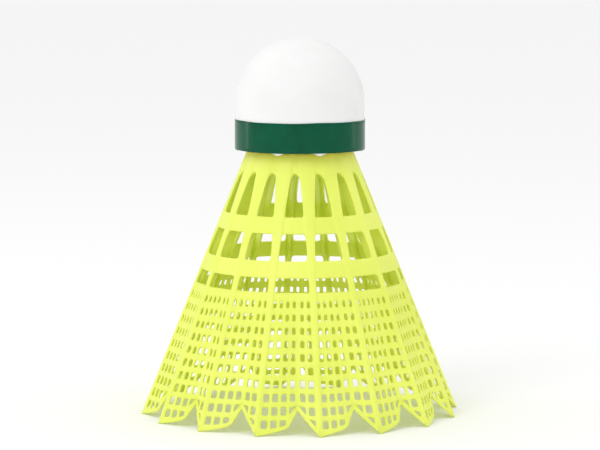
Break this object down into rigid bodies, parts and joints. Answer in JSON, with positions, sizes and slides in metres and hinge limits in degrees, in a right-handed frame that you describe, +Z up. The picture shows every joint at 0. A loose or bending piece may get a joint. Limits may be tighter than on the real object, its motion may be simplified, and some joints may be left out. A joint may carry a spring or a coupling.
{
  "type": "badminton shuttlecock",
  "caption": "Badminton shuttlecock: a domed cork base with a coloured band round it, plugged onto a flared, pleated and netted skirt moulded in one piece.",
  "frame": {"origin": "centre of the circle of skirt tips, in the plane the shuttlecock stands on", "axes": "+Z up along the axis of symmetry, from the skirt's mouth to the nose of the cork; one ridge of the skirt lies along -Y"},
  "size_m": [0.0658, 0.0658, 0.0773],
  "materials": {
    "cork": "matte, granular",
    "cover": "fine-grained, satin",
    "band": "glossy tape",
    "adhesive": "clear, set",
    "skirt": "satin, fluorescent, slightly translucent nylon"
  },
  "bodies": {
    "root": {"cork_nose": "cork", "cork_tail": "cork", "leather_cover": "cover", "speed_band": "band", "plug_adhesive": "adhesive", "skirt": "skirt"}
  },
  "joints": []
}
